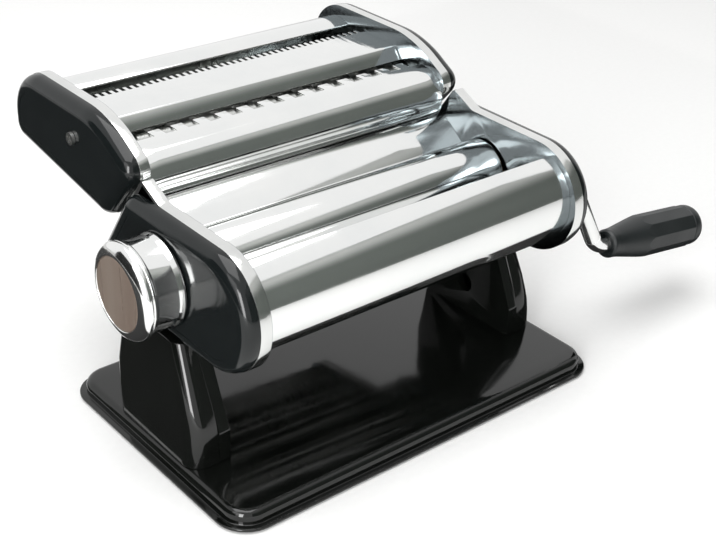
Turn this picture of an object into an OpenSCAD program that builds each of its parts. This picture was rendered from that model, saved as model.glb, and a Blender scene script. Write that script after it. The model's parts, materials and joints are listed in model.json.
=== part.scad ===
// Hand cranked pasta machine with a lift-off cutter, in millimetres.
// X runs along the rollers towards the crank, Y to the cutter at the rear, Z up from the table.

/* [Rollers] */
// Length of the smooth rollers, the width of the dough sheet
roller_len = 150; // [120:1:200]
// Radius of the smooth rollers
roller_r = 14; // [12:0.5:15]
// Widest gap between the smooth rollers
roller_gap = 4.4; // [4.2:0.1:5]
// Narrowest gap between the smooth rollers
roller_gap_min = 0.5; // [0.4:0.1:1]
// Free space between a roller's end and its end plate
roller_end_gap = 1; // [0.5:0.1:2]
// Radius of the roller journals
journal_r = 5; // [4:0.5:6]
// Height of the roller axes above the table
roller_z = 79.8; // [76:0.2:90]
// Place of the front roller's axis, from the middle of the base
front_y = -34.5; // [-40:0.5:-30]

/* [Body] */
// Thickness of the end plates' steel sheet
plate_sheet = 1.5; // [1:0.1:2]
// Depth of the end plates' bright rim
rim_depth = 4.9; // [4.4:0.1:6]
// Radius of the body's round nose
nose_r = 24.2; // [23:0.1:26]
// Distance from the front roller's axis back to the nose centre
nose_back = 2.3; // [1:0.1:4]
// Height of the black end covers over the rim
cover_h = 6.1; // [5.8:0.1:8]
// Wall of the end covers
cover_wall = 1.8; // [1.2:0.1:2.2]
// Radius of the front guard
guard_r = 20.5; // [20:0.1:21.5]
// Sheet thickness of guards, hopper and panels
guard_sheet = 1; // [0.8:0.1:1.5]
// Radius of the tie rods
tie_r = 3; // [2:0.5:4]

/* [Base and legs] */
// Width of the base plate along the rollers
base_w = 192.4; // [186:0.2:260]
// Depth of the base plate
base_d = 125; // [110:1:160]
// Height of the base plate's top above the table
base_h = 7.5; // [6:0.5:10]
// Corner radius of the base plate
base_corner_r = 14; // [10:1:20]
// Sheet thickness of the base plate
base_sheet = 1.2; // [0.8:0.1:1.6]
// Width of the lip round the base plate
base_lip = 2.8; // [2:0.1:4]
// Radius of the base plate's rounded shoulder
base_shoulder_r = 3; // [2:0.1:4]
// Height of the lip over the table
base_lift = 0.8; // [0.4:0.1:1.5]
// Radius of the rubber feet
foot_r = 7; // [5:0.5:9]
// Distance from the feet to the base plate's edges
foot_inset = 18; // [15:1:25]
// Depth of the leg plates' folded edge
leg_fold = 4.9; // [3:0.1:6]
// How far the leg covers stand out at the foot
leg_out = 12.6; // [10:0.1:14]
// How far the leg covers stand out at the top
leg_out_top = 8; // [6:0.1:10]
// Radius of the leg covers' outer corners
leg_edge_r = 3.2; // [2.5:0.1:8]
// Radius of the hole for a table clamp
clamp_hole_r = 4.5; // [4:0.1:5.5]

/* [Crank] */
// Radius of the crank rod
rod_r = 3.75; // [3:0.05:4.2]
// Drop of the crank from the roller axis to the grip
crank_drop = 37.5; // [35:0.5:60]
// How far the crank's arm leans outwards on the way down
crank_lean = 21; // [10:1:25]
// Bend radius of the crank rod
rod_bend_r = 12; // [7:0.5:14]
// Length of the grip
grip_len = 62; // [50:1:80]
// Largest radius of the grip
grip_r = 9.9; // [8:0.1:11]
// Radius of the grip's neck
grip_neck_r = 6.6; // [6:0.1:8]
// Droop of the grip below the roller axis, in degrees
grip_droop = 7.7; // [0:0.1:10]

/* [Regulator] */
// Radius of the regulator knob's rim
knob_r = 19.2; // [17:0.1:20]
// Length of the regulator knob
knob_len = 18.6; // [16:0.1:24]
// Pull of the knob against its spring
knob_pull = 4; // [3:0.5:5]
// Turn of the knob from the widest to the narrowest gap, in degrees
knob_turn = 300; // [240:10:320]
// Radius of the scroll disc behind the cover
scroll_r = 17; // [16:0.1:18]

/* [Cutter] */
// Radius of the cutter rollers
cut_r = 8.3; // [8:0.1:8.5]
// Depth to which the cutter discs overlap
cut_bite = 0.8; // [0.5:0.1:1.2]
// Width of the narrow cutter discs
fine_w = 1.6; // [1.5:0.1:2.5]
// Width of the broad cutter discs
wide_w = 5.2; // [4:0.1:8]
// Height of the cutter roller axes
cut_z = 103; // [102.5:0.1:104]
// Distance of the broad cut's feed gap behind the foot of the body's rear edge
cut_set = 3; // [2.5:0.1:4]
// Free space between the two pairs of cutter rollers
pair_gap = 4.6; // [4:0.1:6]
// Radius of the cutter roller shafts
cut_shaft_r = 3.5; // [3:0.1:4]
// Radius of the bores that take the crank
socket_r = 3.85; // [3.8:0.05:4]

/* [Clearances] */
// Radial clearance of shafts in their bearings
run_clear = 0.05; // [0.02:0.01:0.1]
// Clearance of sliding flat faces
slide_clear = 0.15; // [0.1:0.05:0.3]
// Clearance between pieces that only pass each other
free_clear = 0.4; // [0.3:0.1:0.6]

/* [Hidden] */
$fn = 64;

BLACK = "#17191a";
CHROME = "#d5d8da";
STEEL = "#aeb2b5";
BRONZE = "#a58c5b";
RUBBER = "#1b1b1b";
PLASTIC = "#202425";

// Planes along X
roller_x = roller_len / 2;
plate_x = roller_x + roller_end_gap;
web_x = plate_x + plate_sheet;
rim_x = plate_x + rim_depth;
cover_x = rim_x + cover_h;

// Places across the body
rear_y = front_y + 2 * roller_r + roller_gap;
gap_travel = roller_gap - roller_gap_min;
nose_y = front_y + nose_back;
body_top = roller_z + nose_r;
body_bottom = roller_z - nose_r;

// Rear edge of the body, which leans to the front as it rises
rail_foot = [46, 71];
rail_head = [19.2, body_top + 5.8];
rail_run = rail_head - rail_foot;
rail_tilt = atan2(-rail_run[0], rail_run[1]);
rail_share = (body_top - rail_foot[1]) / rail_run[1];
rail_at_top = rail_foot + rail_run * rail_share;
body_bottom_rear = [24, body_bottom];
ear_start = [7, body_top];

nose_corners = [
    [nose_y - nose_r, body_top, nose_r],
    [nose_y - nose_r, body_bottom, nose_r],
    [body_bottom_rear[0], body_bottom_rear[1], 10],
    [rail_foot[0], rail_foot[1], 7],
];
plate_corners = concat(nose_corners, [
    [rail_head[0], rail_head[1], 1.5],
    [ear_start[0], ear_start[1], 4],
]);
cover_corners = concat(nose_corners, [[rail_at_top[0], rail_at_top[1], 4]]);

// Leg outline, with a straight rear and a front edge that leans back
leg_top_z = body_bottom - 0.2;
leg_kink_z = base_h + 13.5;
leg_corners = [
    [-27, base_h, 1],
    [26.5, base_h, 1],
    [30.4, base_h + 22, 8],
    [27.5, leg_top_z, 1],
    [-11.5, leg_top_z, 1],
    [-27, leg_kink_z, 3],
];
leg_in_x = plate_x - plate_sheet;
leg_rim_x = leg_in_x + leg_fold;
leg_tab_h = 8;
clamp_hole_at = [1.8, base_h + 14.5];
leg_bolt_at = [[-18, 7.5], [18, 7.5]];
leg_bolt_r = 2;
leg_bolt_head_r = 3.6;
leg_bolt_head_h = 2;

// Front guard
guard_at = [nose_y - 0.8, roller_z + 1.2];
guard_start = 109;
guard_end = 240;
guard_lip_r = 1.3;

// Hopper, a sloping sheet that guides the dough onto the rear roller
hopper_foot = [rear_y + 13.5, roller_z + 6.6];
hopper_rise = 9.25;
hopper_tilt = 35;
hopper_len = hopper_rise / sin(hopper_tilt);

// Tie rods and scrapers
tie_at = [[rear_y + 17.6, roller_z - 11.7], [rail_foot[0] - 13.5, rail_foot[1] + 1]];
scraper_len = 4.8;
scraper_front_angle = 240;
scraper_rear_angle = -65;
scraper_lean = 72;

// Front bearings and drive
bush_r = journal_r + 3;
bush_flange_r = bush_r + 1.5;
bush_flange_h = 1;
gear_x = web_x + 2.6;
gear_w = 4.6;
gear_teeth = 12;
gear_tip_r = roller_r + 3.6;
gear_root_r = 2 * roller_r + roller_gap_min - gear_tip_r - free_clear;
drive_end_x = cover_x + 1.5;
socket_depth = 16;
slot_half = 1.1;
slot_reach = 1.2;
slot_depth = 7;
socket_wall = 1.9;
drive_r = socket_r + socket_wall;

// Crank
crank_start_x = drive_end_x - socket_depth + free_clear;
elbow_swell = 0.03;
elbow_lap = 0.4;
crank_elbow_x = cover_x + 11;
grip_pin_r = rod_r - 0.6;
grip_start = 6;
cap_h = 7;
grip_bore_len = grip_len - cap_h - 3;
pin_head_r = 4.6;
pin_head_h = 2;
grip_dir = [cos(grip_droop), -sin(grip_droop)];
crank_knee = [crank_elbow_x + crank_lean, roller_z - crank_drop];
knee_trim = rod_trim([crank_elbow_x, roller_z], crank_knee, crank_knee + grip_dir, rod_bend_r);
grip_from = max(grip_start, knee_trim + 0.5);

// Bearing blocks of the rear roller, which slide along Y in slots of the end plates
block_y = 15;
block_z = 13;
block_lip = 2;
block_flange_h = 2;
slot_z = block_z + 2 * slide_clear;
slot_front = rear_y - block_y / 2 - gap_travel - free_clear;
slot_rear = rear_y + block_y / 2 + free_clear;
block_in_x = plate_x + 0.1;
block_out_x = web_x + slide_clear;

// Regulator
pin_r = 1.6;
pin_reach = 13;
scroll_x = block_out_x + block_flange_h + free_clear;
scroll_t = 3;
scroll_groove = 2;
scroll_step = gap_travel / knob_turn;
reg_shaft_r = 4;
knob_back_x = cover_x + free_clear;
knob_face_x = knob_back_x + knob_len;
knob_wall = 1.6;
knob_hub_r = reg_shaft_r + 2.4;
face_r = knob_r - 2.6;
face_t = 1.6;
face_back_x = knob_face_x - face_t - 0.2;
nut_r = 7;
nut_t = 2;
reg_shaft_end = face_back_x - 0.6;
nut_x = reg_shaft_end - nut_t;
spring_wire_r = 0.45;
spring_r = reg_shaft_r + 1.2;
spring_turns = 4;
spring_solid = 2 * spring_wire_r * spring_turns;
knob_web_x = nut_x - spring_solid - knob_pull - knob_wall;

// Cutter
cut_plate_x = plate_x - 2;
cut_web_x = cut_plate_x + plate_sheet;
cut_rim_x = cut_plate_x + 4.4;
cut_cover_x = cut_rim_x + cover_h;
cut_roller_x = cut_plate_x - 0.5;
cut_pitch = 2 * cut_r - cut_bite;
wide_y = rail_foot[0] + cut_set;
fine_y = wide_y + cut_pitch + 2 * cut_r + pair_gap;
cut_floor_r = cut_pitch - cut_r - 0.5;
cut_core_clear = 0.15;
cut_top = cut_z + 23.3;
cut_corners = [
    [fine_y + 29.2, cut_top, 20],
    [wide_y - 3, cut_top, 45],
    [wide_y - 29.4, cut_top - 14.7, 7],
    [wide_y - 6.5, cut_top - 41.4, 6],
    [fine_y + 29.2, cut_top - 30.8, 8],
];
wide_front_y = wide_y - cut_pitch / 2;
wide_rear_y = wide_y + cut_pitch / 2;
fine_front_y = fine_y - cut_pitch / 2;
fine_rear_y = fine_y + cut_pitch / 2;
cut_drive_x = cut_cover_x + 0.8;
cut_drive_depth = 11;
cut_gear_teeth = 14;
cut_gear_w = 2.2;
cut_gear_x = cut_web_x + free_clear;
cut_gear_tip_r = cut_pitch / 2 + 0.7;
cut_gear_root_r = cut_pitch - cut_gear_tip_r - free_clear;
cut_front_arc = [wide_y - 12.8, cut_z + 0.2];
cut_front_arc_r = 12.5;
cut_rear_arc = [fine_y + 11.5, cut_z + 3];
cut_rear_arc_r = 15;
cut_tie_at = [[(wide_rear_y + fine_front_y) / 2, cut_z - 11], [fine_y + 21, cut_z + 1]];
cut_tie_r = 2.5;
cut_screw_at = [wide_y + 15, cut_z + 8.5];
cut_screw_r = 2.6;
cut_screw_shank_r = 1.5;

// Rails that carry the cutter, and the tongues that slide in them
// Height of the cutter axes over the foot of the rear edge that gives the shortest tongues
seat_rise = 32;
seat_lift = cut_z - rail_foot[1] - seat_rise;
rail_low = 2 + seat_lift * cos(rail_tilt);
rail_high = rail_low + 16;
rail_in_x = plate_x - 10;
rail_cheek = 2;
rail_floor = 1.5;
rail_depth = 4;
tongue_lift = 8 + seat_lift * sin(rail_tilt);
tongue_len = 13;

// Points of an arc
function arc(c, r, a0, a1, n = 24) =
    [for (i = [0 : n]) c + r * [cos(a0 + (a1 - a0) * i / n), sin(a0 + (a1 - a0) * i / n)]];

function unit(v) = v / norm(v);
function left_of(v) = [-v[1], v[0]];
function cross2(a, b) = a[0] * b[1] - a[1] * b[0];
function at(c, i) = let (p = c[(i + len(c)) % len(c)]) [p[0], p[1]];

// Corner i of a closed outline after each edge has moved inwards by d
function inset_corner(c, i, d) =
    let (
        u = unit(at(c, i) - at(c, i - 1)),
        v = unit(at(c, i + 1) - at(c, i)),
        p = at(c, i) + left_of(u) * d,
        q = at(c, i) + left_of(v) * d,
        s = cross2(u, v)
    )
    p + u * (cross2(q - p, v) / s);

// Radius of corner i after the inset, kept from vanishing
function inset_radius(c, i, d) =
    let (turn = cross2(at(c, i) - at(c, i - 1), at(c, i + 1) - at(c, i)))
    max(0.2, c[i][2] + (turn > 0 ? -d : d));

// Arc that rounds one corner, as a list of points
function round_corner(a, b, c, r) =
    let (
        u = unit(b - a),
        v = unit(c - b),
        turn = atan2(cross2(u, v), u * v),
        side = turn > 0 ? 1 : -1,
        t = r * tan(abs(turn) / 2),
        centre = b - u * t + left_of(u) * r * side,
        start = atan2(-left_of(u)[1] * side, -left_of(u)[0] * side),
        n = max(2, ceil(abs(turn) / 6))
    )
    arc(centre, r, start, start + turn, n);

// Rounded outline, drawn anticlockwise and inset by d
function outline(c, d = 0) =
    let (p = [for (i = [0 : len(c) - 1]) inset_corner(c, i, d)], n = len(c))
    [for (i = [0 : n - 1]) each
        round_corner(p[(i + n - 1) % n], p[i], p[(i + 1) % n], inset_radius(c, i, d))];

// Band of thickness t to the left of an open line of points
function band(p, t) =
    let (
        n = len(p),
        dirs = [for (i = [0 : n - 2]) unit(p[i + 1] - p[i])],
        far = [for (i = [0 : n - 1])
            let (
                u = dirs[max(0, i - 1)],
                v = dirs[min(n - 2, i)],
                m = unit(left_of(u) + left_of(v))
            )
            p[i] + m * (t / (m * left_of(v)))]
    )
    concat(p, [for (i = [n - 1 : -1 : 0]) far[i]]);

// Outline in the Y and Z plane, drawn out along X
module along_x(x0, x1) {
    translate([x0, 0, 0])
        rotate([90, 0, 90])
            linear_extrude(x1 - x0)
                children();
}

// Round bar along X
module bar_x(x0, x1, p, r) {
    translate([x0, p[0], p[1]])
        rotate([0, 90, 0])
            cylinder(h = x1 - x0, r = r);
}

// Copy on the left side as well
module both_sides() {
    children();
    mirror([1, 0, 0])
        children();
}

// Pressed dish: a web with a rim folded outwards
module dish(corners, x_web, x_rim, sheet) {
    difference() {
        along_x(x_web, x_rim)
            polygon(outline(corners));
        along_x(x_web + sheet, x_rim + 1)
            polygon(outline(corners, sheet));
    }
}

// Domed cover with a flat face and a deep round edge, hollow from the inside
module domed_cover(corners, x0, h, wall) {
    steps = 5;
    slice = 0.01;
    edge = 6.5;
    rim_gap = 0.2;
    shoulder = edge * (1 - cos(asin(1 - wall / h)));
    difference() {
        hull() {
            for (i = [0 : steps]) {
                a = 90 * i / steps;
                along_x(x0 + (h - slice) * sin(a), x0 + (h - slice) * sin(a) + slice)
                    polygon(outline(corners, rim_gap + edge * (1 - cos(a))));
            }
        }
        along_x(x0 - 1, x0 + h - wall)
            polygon(outline(corners, rim_gap + shoulder + 0.85 * wall));
    }
}

// Gear with straight-sided teeth that stay in mesh as the centres part
module gear(teeth, root_r, tip_r, root_w, tip_w, phase) {
    circle(root_r);
    for (i = [0 : teeth - 1])
        rotate(phase + i * 360 / teeth)
            polygon([
                [root_r - 1, -root_w / 2],
                [tip_r, -tip_w / 2],
                [tip_r, tip_w / 2],
                [root_r - 1, root_w / 2],
            ]);
}

// Bore with a cross slot at its mouth, which takes the crank
module drive_socket(x_mouth, p, depth) {
    bar_x(x_mouth - depth, x_mouth + 1, p, socket_r);
    translate([x_mouth - slot_depth, p[0] - slot_half, p[1] - socket_r - slot_reach])
        cube([slot_depth + 1, 2 * slot_half, 2 * (socket_r + slot_reach)]);
}

// Cross section of the base plate from its edge inwards
function tray_profile() =
    let (
        wall_x = base_corner_r - base_lip,
        bend = [wall_x - base_shoulder_r, base_h - base_shoulder_r]
    )
    concat(
        [
            [wall_x - base_sheet, base_lift],
            [base_corner_r, base_lift],
            [base_corner_r, base_lift + base_sheet],
            [wall_x, base_lift + base_sheet],
        ],
        arc(bend, base_shoulder_r, 0, 90, 8),
        [[0, base_h], [0, base_h - base_sheet]],
        arc(bend, base_shoulder_r - base_sheet, 90, 0, 8)
    );

module base_plate() {
    corner_x = base_w / 2 - base_corner_r;
    corner_y = base_d / 2 - base_corner_r;
    overlap = 1;
    color(BLACK)
        difference() {
            union() {
                for (sx = [0, 1], sy = [0, 1])
                    mirror([sx, 0, 0])
                        mirror([0, sy, 0])
                            translate([corner_x, corner_y, 0])
                                rotate_extrude(angle = 90)
                                    polygon(tray_profile());
                for (s = [0, 1])
                    mirror([0, s, 0])
                        translate([-corner_x, corner_y, 0])
                            rotate([90, 0, 90])
                                linear_extrude(2 * corner_x)
                                    polygon(tray_profile());
                for (s = [0, 1])
                    mirror([s, 0, 0])
                        translate([corner_x, corner_y, 0])
                            rotate([90, 0, 0])
                                linear_extrude(2 * corner_y)
                                    polygon(tray_profile());
                translate([-corner_x - overlap, -corner_y - overlap, base_h - base_sheet])
                    cube([2 * (corner_x + overlap), 2 * (corner_y + overlap), base_sheet]);
            }
            for (p = leg_bolt_at)
                both_sides()
                    translate([leg_in_x + p[1], p[0], 0])
                        cylinder(h = base_h + 1, r = leg_bolt_r + run_clear);
        }
}

module rubber_feet() {
    color(RUBBER)
        for (x = [-1, 1], y = [-1, 1])
            translate([x * (base_w / 2 - foot_inset), y * (base_d / 2 - foot_inset), 0])
                cylinder(h = base_h - base_sheet, r = foot_r);
}

// Pressed leg: a web, a folded edge, a foot with bolt holes and a tab behind the end plate
module leg_plate() {
    collar_r = clamp_hole_r + 1.4;
    collar_h = 2.2;
    foot_x = leg_in_x + 11.5;
    foot_sheet = plate_sheet;
    tab_front = -8;
    tab_rear = 24;
    difference() {
        union() {
            dish(leg_corners, leg_in_x, leg_rim_x, plate_sheet);
            along_x(leg_in_x, plate_x)
                translate([tab_front, leg_top_z - 2])
                    square([tab_rear - tab_front, leg_tab_h + 2]);
            bar_x(leg_in_x, leg_in_x + plate_sheet + collar_h, clamp_hole_at, collar_r);
            translate([leg_in_x, leg_bolt_at[0][0] - 6, base_h])
                cube([foot_x - leg_in_x, leg_bolt_at[1][0] - leg_bolt_at[0][0] + 12, foot_sheet]);
        }
        bar_x(leg_in_x - 1, leg_rim_x, clamp_hole_at, clamp_hole_r);
        for (p = leg_bolt_at)
            translate([leg_in_x + p[1], p[0], base_h - 1])
                cylinder(h = 4, r = leg_bolt_r + run_clear);
    }
}

module left_leg_plate() {
    color(BLACK)
        mirror([1, 0, 0])
            leg_plate();
}

module right_leg_plate() {
    color(BLACK)
        leg_plate();
}

// Level slice of a leg cover with round outer corners
function leg_slice(y0, y1, depth, d) =
    let (back = leg_rim_x - 1 - 2 * d)
    outline([
        [back, y0, 0.3],
        [leg_rim_x + depth, y0, leg_edge_r],
        [leg_rim_x + depth, y1, leg_edge_r],
        [back, y1, 0.3],
    ], d);

// Solid form of a leg cover, inset by d
module leg_form(d) {
    c = leg_corners;
    kink_out = leg_out - 1.2;
    waist_out = kink_out - 0.6;
    lean = (c[4][0] - c[5][0]) / (c[4][1] - c[5][1]);
    waist_y = c[5][0] + lean * (c[2][1] - c[5][1]);
    hull() {
        translate([0, 0, c[0][1]])
            linear_extrude(0.01)
                polygon(leg_slice(c[0][0], c[1][0], leg_out, d));
        translate([0, 0, leg_kink_z])
            linear_extrude(0.01)
                polygon(leg_slice(c[5][0], c[2][0] - 0.5, kink_out, d));
        translate([0, 0, c[2][1]])
            linear_extrude(0.01)
                polygon(leg_slice(waist_y, c[2][0], waist_out, d));
        translate([0, 0, leg_top_z - 0.01])
            linear_extrude(0.01)
                polygon(leg_slice(c[4][0], c[3][0], leg_out_top, d));
    }
}

module leg_cover() {
    difference() {
        leg_form(0);
        leg_form(cover_wall);
        translate([leg_rim_x - 5, -50, 0])
            cube([5, 100, 2 * roller_z]);
    }
}

module left_leg_cover() {
    color(BLACK)
        mirror([1, 0, 0])
            leg_cover();
}

module right_leg_cover() {
    color(BLACK)
        leg_cover();
}

module leg_bolts() {
    bolt_low = base_h - base_sheet;
    head_z = base_h + plate_sheet;
    color(STEEL)
        both_sides()
            for (p = leg_bolt_at)
                translate([leg_in_x + p[1], p[0], 0]) {
                    translate([0, 0, bolt_low])
                        cylinder(h = head_z - bolt_low + 0.1, r = leg_bolt_r);
                    translate([0, 0, head_z])
                        cylinder(h = leg_bolt_head_h, r = leg_bolt_head_r);
                }
}

// End plate with the front bearing hole and the slot of the rear bearing block
module end_plate() {
    difference() {
        dish(plate_corners, plate_x, rim_x, plate_sheet);
        bar_x(plate_x - 1, web_x + 1, [front_y, roller_z], bush_r + run_clear);
        along_x(plate_x - 1, web_x + 1)
            translate([slot_front, roller_z - slot_z / 2])
                square([slot_rear - slot_front, slot_z]);
    }
}

module left_end_plate() {
    color(CHROME)
        mirror([1, 0, 0])
            end_plate();
}

module right_end_plate() {
    color(CHROME)
        end_plate();
}

module left_cover() {
    track_in = 12.4;
    track_out = 15.4;
    track_depth = 0.8;
    color(BLACK)
        mirror([1, 0, 0])
            difference() {
                domed_cover(cover_corners, rim_x, cover_h, cover_wall);
                bar_x(rim_x - 1, cover_x + 1, [rear_y, roller_z], reg_shaft_r + run_clear);
                difference() {
                    bar_x(cover_x - track_depth, cover_x + 1, [rear_y, roller_z], track_out);
                    bar_x(cover_x - track_depth - 1, cover_x + 2, [rear_y, roller_z], track_in);
                }
            }
}

module right_cover() {
    color(BLACK)
        difference() {
            domed_cover(cover_corners, rim_x, cover_h, cover_wall);
            bar_x(rim_x - 1, cover_x + 1, [front_y, roller_z], drive_r + free_clear);
        }
}

module front_guard() {
    lip_at = guard_at + (guard_r - guard_lip_r) * [cos(guard_start), sin(guard_start)];
    color(CHROME)
        along_x(-plate_x, plate_x)
            union() {
                polygon(concat(
                    arc(guard_at, guard_r, guard_start, guard_end, 40),
                    arc(guard_at, guard_r - guard_sheet, guard_end, guard_start, 40)
                ));
                translate(lip_at)
                    circle(guard_lip_r);
            }
}

module hopper_plate() {
    color(CHROME)
        along_x(-plate_x, plate_x)
            translate(hopper_foot)
                rotate(hopper_tilt) {
                    square([hopper_len, guard_sheet]);
                    translate([0, -guard_sheet * 0.4])
                        square([2.2, guard_sheet * 1.4]);
                }
}

// Folded sheet that closes the rear of the body
module rear_panel() {
    back = unit([rail_run[1], -rail_run[0]]);
    inset = 4;
    head = rail_foot + rail_run * 0.6 - back * inset;
    knee = rail_foot + rail_run * 0.08 - back * inset;
    foot = body_bottom_rear + [3, 2.6];
    color(CHROME)
        along_x(-plate_x, plate_x)
            polygon(band([foot, knee, head], guard_sheet));
}

// Blade that lies against a roller and keeps the dough off it
module scraper(axis_y, angle, side) {
    along_x(-plate_x, plate_x)
        translate([axis_y, roller_z])
            rotate(angle)
                translate([roller_r + free_clear + guard_sheet / 2, 0])
                    rotate(side * scraper_lean)
                        translate([0, -guard_sheet / 2])
                            square([scraper_len, guard_sheet]);
}

module front_scraper() {
    color(STEEL)
        scraper(front_y, scraper_front_angle, -1);
}

module rear_scraper() {
    color(STEEL)
        scraper(rear_y, scraper_rear_angle, 1);
}

module tie_rods() {
    color(STEEL)
        for (p = tie_at)
            bar_x(-plate_x, plate_x, p, tie_r);
}

module front_bushes() {
    color(BRONZE)
        both_sides()
            difference() {
                union() {
                    bar_x(plate_x, web_x + bush_flange_h, [front_y, roller_z], bush_r);
                    bar_x(web_x, web_x + bush_flange_h, [front_y, roller_z], bush_flange_r);
                }
                bar_x(plate_x - 1, web_x + 5, [front_y, roller_z], journal_r + run_clear);
            }
}

// Places a rail shape: X across, Y out from the body's rear edge, Z up along the edge
module on_rail() {
    translate([0, rail_foot[0], rail_foot[1]])
        rotate([rail_tilt, 0, 0])
            children();
}

module cutter_rails() {
    width = plate_x - rail_in_x;
    color(CHROME)
        both_sides()
            on_rail()
                translate([rail_in_x, -rail_floor, rail_low])
                    difference() {
                        cube([width, rail_floor + rail_depth, rail_high - rail_low]);
                        translate([rail_cheek, rail_floor, rail_floor])
                            cube([width - 2 * rail_cheek, rail_depth + 1, rail_high - rail_low]);
                    }
}

// Smooth roller with its two journals
module front_roller() {
    p = [front_y, roller_z];
    color(CHROME)
        difference() {
            union() {
                bar_x(-roller_x, roller_x, p, roller_r);
                bar_x(-web_x - 1, gear_x + gear_w, p, journal_r);
                bar_x(gear_x + gear_w, drive_end_x, p, drive_r);
            }
            drive_socket(drive_end_x, p, socket_depth);
        }
}

module roller_gear(axis_y, phase) {
    root_w = 3.2;
    tip_w = 1.3;
    difference() {
        along_x(gear_x, gear_x + gear_w)
            translate([axis_y, roller_z])
                gear(gear_teeth, gear_root_r, gear_tip_r, root_w, tip_w, phase);
        bar_x(gear_x - 1, gear_x + gear_w + 1, [axis_y, roller_z], journal_r + run_clear / 2);
    }
}

module front_gear() {
    color(STEEL)
        roller_gear(front_y, 0);
}

// Point of the crank's centre line in its X and Z plane, seen as X and Y of a drawing
module in_crank_plane() {
    translate([0, front_y, 0])
        rotate([90, 0, 0])
            children();
}

// Straight round bar from a to b in the drawing plane
module rod_bar(a, b, r) {
    d = b - a;
    translate([a[0], a[1], 0])
        rotate([0, 0, atan2(d[1], d[0])])
            rotate([0, 90, 0])
                cylinder(h = norm(d), r = r);
}

// Bend at corner b between a and c in the drawing plane
module rod_elbow(a, b, c, r, bend) {
    u = unit(b - a);
    v = unit(c - b);
    turn = atan2(cross2(u, v), u * v);
    side = turn > 0 ? 1 : -1;
    centre = b - u * bend * tan(abs(turn) / 2) + left_of(u) * bend * side;
    start = atan2(-left_of(u)[1] * side, -left_of(u)[0] * side);
    translate([centre[0], centre[1], 0])
        rotate([0, 0, min(start, start + turn)])
            rotate_extrude(angle = abs(turn))
                translate([bend, 0])
                    circle(r);
}

function rod_trim(a, b, c, bend) =
    let (u = unit(b - a), v = unit(c - b), turn = atan2(cross2(u, v), u * v))
    bend * tan(abs(turn) / 2);

module crank_rod() {
    start = [crank_start_x, roller_z];
    elbow = [crank_elbow_x, roller_z];
    knee = crank_knee;
    tip = knee + grip_dir * (grip_from + grip_bore_len);
    arm = unit(knee - elbow);
    t1 = rod_trim(start, elbow, knee, rod_bend_r);
    t2 = knee_trim;
    shoulder = knee + grip_dir * grip_from;
    cross_x = drive_end_x - 3.5;
    cross_r = 0.9;
    color(CHROME) {
        in_crank_plane() {
            rod_bar(start, elbow - [t1 - elbow_lap, 0], rod_r);
            rod_elbow(start, elbow, knee, rod_r + elbow_swell, rod_bend_r);
            rod_bar(elbow + arm * (t1 - elbow_lap), knee - arm * (t2 - elbow_lap), rod_r);
            rod_elbow(elbow, knee, tip, rod_r + elbow_swell, rod_bend_r);
            rod_bar(knee + grip_dir * (t2 - elbow_lap), shoulder, rod_r);
            rod_bar(shoulder - grip_dir * elbow_lap, tip, grip_pin_r);
            rod_bar(tip - grip_dir * elbow_lap, tip + grip_dir * pin_head_h, pin_head_r);
        }
        translate([cross_x, front_y, roller_z - socket_r - slot_reach + free_clear])
            cylinder(h = 2 * (socket_r + slot_reach - free_clear), r = cross_r);
    }
}

// Places a revolved shape on the grip's axis, with its start at the neck
module on_grip() {
    p = crank_knee + grip_dir * (grip_from + slide_clear);
    translate([p[0], front_y, p[1]])
        rotate([0, 90 + grip_droop, 0])
            children();
}

module crank_grip() {
    body = grip_len - cap_h;
    belly = 22;
    flat_r = grip_r - 0.45;
    flats = 10;
    bore_end = grip_bore_len - elbow_lap - 2 * slide_clear;
    color(PLASTIC)
        on_grip()
            difference() {
                rotate_extrude()
                    polygon(concat(
                        [[0, 0], [grip_neck_r - 1, 0], [grip_neck_r, 1]],
                        [for (i = [0 : 8])
                            [grip_neck_r + (grip_r - grip_neck_r) * (1 - cos(180 * i / 8)) / 2,
                                3 + (belly - 3) * i / 8]],
                        [[grip_r, body], [0, body]]
                    ));
                for (i = [0 : flats - 1])
                    rotate(i * 360 / flats)
                        translate([flat_r, -grip_r, belly - 2])
                            cube([grip_r, 2 * grip_r, body]);
                translate([0, 0, -1])
                    cylinder(h = grip_len, r = grip_pin_r + run_clear);
                translate([0, 0, bore_end])
                    cylinder(h = grip_len, r = pin_head_r + free_clear);
            }
}

module grip_cap() {
    body = grip_len - cap_h;
    edge = 3.5;
    top_r = grip_r - 0.2;
    color(PLASTIC)
        on_grip()
            translate([0, 0, body])
                difference() {
                    rotate_extrude()
                        polygon(concat(
                            [[0, 0], [top_r - 0.5, 0], [top_r, 0.6]],
                            arc([top_r - edge, cap_h - edge], edge, 0, 90, 8),
                            [[0, cap_h]]
                        ));
                    translate([0, 0, -1])
                        cylinder(h = 1 + 2.6, r = pin_head_r + free_clear);
                }
}

// Bronze block with a flange that keeps it in its slot
module bearing_block() {
    difference() {
        union() {
            along_x(block_in_x, block_out_x + 0.1)
                translate([rear_y - block_y / 2, roller_z - block_z / 2])
                    square([block_y, block_z]);
            along_x(block_out_x, block_out_x + block_flange_h)
                translate([rear_y - block_y / 2, roller_z - block_z / 2 - block_lip])
                    square([block_y, block_z + 2 * block_lip]);
        }
        bar_x(plate_x - 1, scroll_x, [rear_y, roller_z], journal_r + run_clear);
    }
}

module left_bearing_block() {
    arm_z = 5;
    color(BRONZE)
        mirror([1, 0, 0]) {
            bearing_block();
            along_x(block_out_x, block_out_x + block_flange_h)
                translate([rear_y + block_y / 2 - 1, roller_z - arm_z / 2])
                    square([pin_reach + pin_r + 1 - block_y / 2 + 1, arm_z]);
            bar_x(block_out_x + 0.5, scroll_x + scroll_groove - free_clear,
                [rear_y + pin_reach, roller_z], pin_r);
        }
}

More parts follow.
